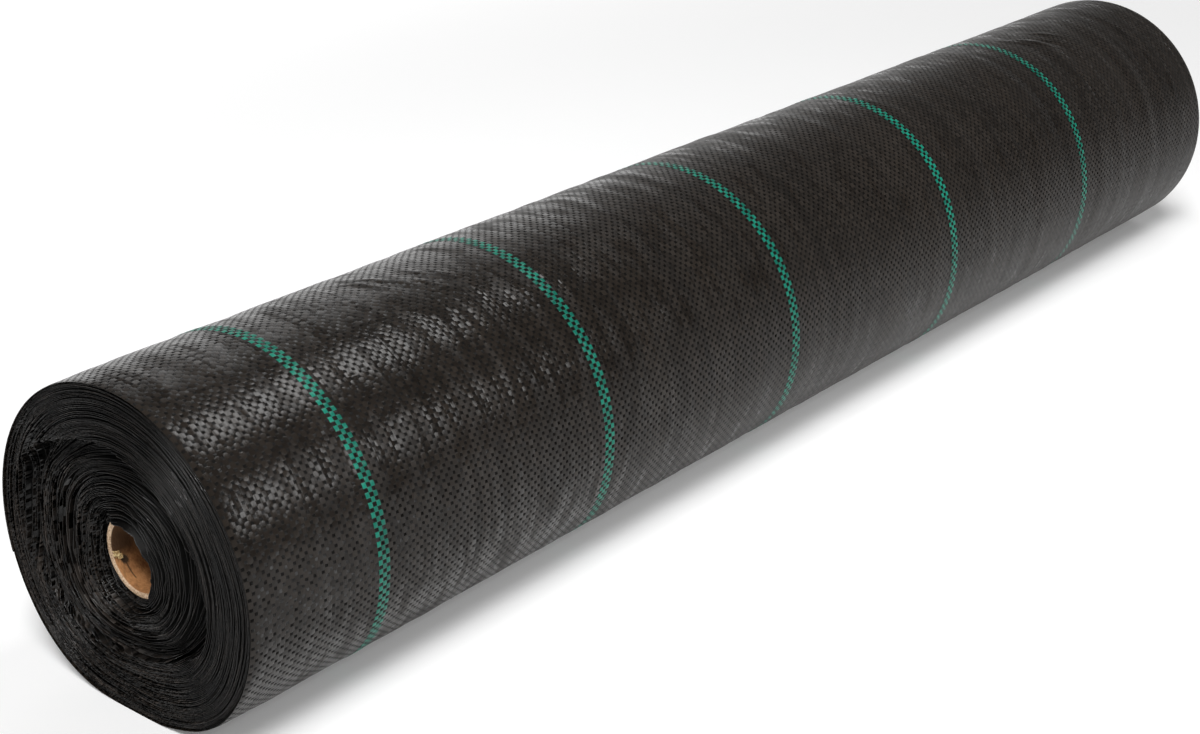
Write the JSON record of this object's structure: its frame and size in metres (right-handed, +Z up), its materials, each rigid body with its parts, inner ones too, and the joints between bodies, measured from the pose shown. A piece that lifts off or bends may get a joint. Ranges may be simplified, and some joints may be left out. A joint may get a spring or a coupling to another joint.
{
  "type": "roll of weed control sheet",
  "caption": "Roll of black woven weed control sheet with green marker stripes on a cardboard core; its loose end peels off the back.",
  "frame": {"origin": "centre of the roll's footprint, on the surface that it lies on", "axes": "+X along the roll from the end that the picture shows to the far end, +Y to the back where the loose end of the sheet hangs, +Z up"},
  "size_m": [1, 0.1851, 0.1758],
  "materials": {
    "black_weave": "flat woven polypropylene tapes, semi-gloss",
    "green_weave": "flat woven polypropylene tapes, semi-gloss",
    "cardboard": "matte, fibrous",
    "paper_tape": "matte"
  },
  "bodies": {
    "roll": {"core_tube": "cardboard", "start_tape": "paper_tape", "wound_sheet": "black_weave", "marker_stripe_1": "green_weave", "marker_stripe_2": "green_weave", "marker_stripe_3": "green_weave", "marker_stripe_4": "green_weave", "marker_stripe_5": "green_weave"},
    "tail_1": {"tail_panel_1": "black_weave", "tail_panel_1_stripe_1": "green_weave", "tail_panel_1_stripe_2": "green_weave", "tail_panel_1_stripe_3": "green_weave", "tail_panel_1_stripe_4": "green_weave", "tail_panel_1_stripe_5": "green_weave"},
    "tail_2": {"tail_panel_2": "black_weave", "tail_panel_2_stripe_1": "green_weave", "tail_panel_2_stripe_2": "green_weave", "tail_panel_2_stripe_3": "green_weave", "tail_panel_2_stripe_4": "green_weave", "tail_panel_2_stripe_5": "green_weave"},
    "tail_3": {"tail_panel_3": "black_weave", "tail_panel_3_stripe_1": "green_weave", "tail_panel_3_stripe_2": "green_weave", "tail_panel_3_stripe_3": "green_weave", "tail_panel_3_stripe_4": "green_weave", "tail_panel_3_stripe_5": "green_weave"},
    "tail_4": {"tail_panel_4": "black_weave", "tail_panel_4_stripe_1": "green_weave", "tail_panel_4_stripe_2": "green_weave", "tail_panel_4_stripe_3": "green_weave", "tail_panel_4_stripe_4": "green_weave", "tail_panel_4_stripe_5": "green_weave"},
    "tail_5": {"tail_panel_5": "black_weave", "tail_panel_5_stripe_1": "green_weave", "tail_panel_5_stripe_2": "green_weave", "tail_panel_5_stripe_3": "green_weave", "tail_panel_5_stripe_4": "green_weave", "tail_panel_5_stripe_5": "green_weave"}
  },
  "joints": [
    {"name": "tail_hinge_1", "type": "hinge", "parent": "roll", "child": "tail_1", "pos_m": [0, 0.04578, 0.1635], "axis": [1, 0, 0], "range_deg": [0, 15]},
    {"name": "tail_hinge_2", "type": "hinge", "parent": "tail_1", "child": "tail_2", "pos_m": [0, 0.06504, 0.14887], "axis": [1, 0, 0], "range_deg": [0, 15]},
    {"name": "tail_hinge_3", "type": "hinge", "parent": "tail_2", "child": "tail_3", "pos_m": [0, 0.07988, 0.12973], "axis": [1, 0, 0], "range_deg": [0, 15]},
    {"name": "tail_hinge_4", "type": "hinge", "parent": "tail_3", "child": "tail_4", "pos_m": [0, 0.08927, 0.10737], "axis": [1, 0, 0], "range_deg": [0, 15]},
    {"name": "tail_hinge_5", "type": "hinge", "parent": "tail_4", "child": "tail_5", "pos_m": [0, 0.09256, 0.08331], "axis": [1, 0, 0], "range_deg": [0, 15]}
  ],
  "couplings": [
    {"joint": "tail_hinge_2", "follows": "tail_hinge_1", "ratio": 1},
    {"joint": "tail_hinge_3", "follows": "tail_hinge_1", "ratio": 1},
    {"joint": "tail_hinge_4", "follows": "tail_hinge_1", "ratio": 1},
    {"joint": "tail_hinge_5", "follows": "tail_hinge_1", "ratio": 1}
  ]
}
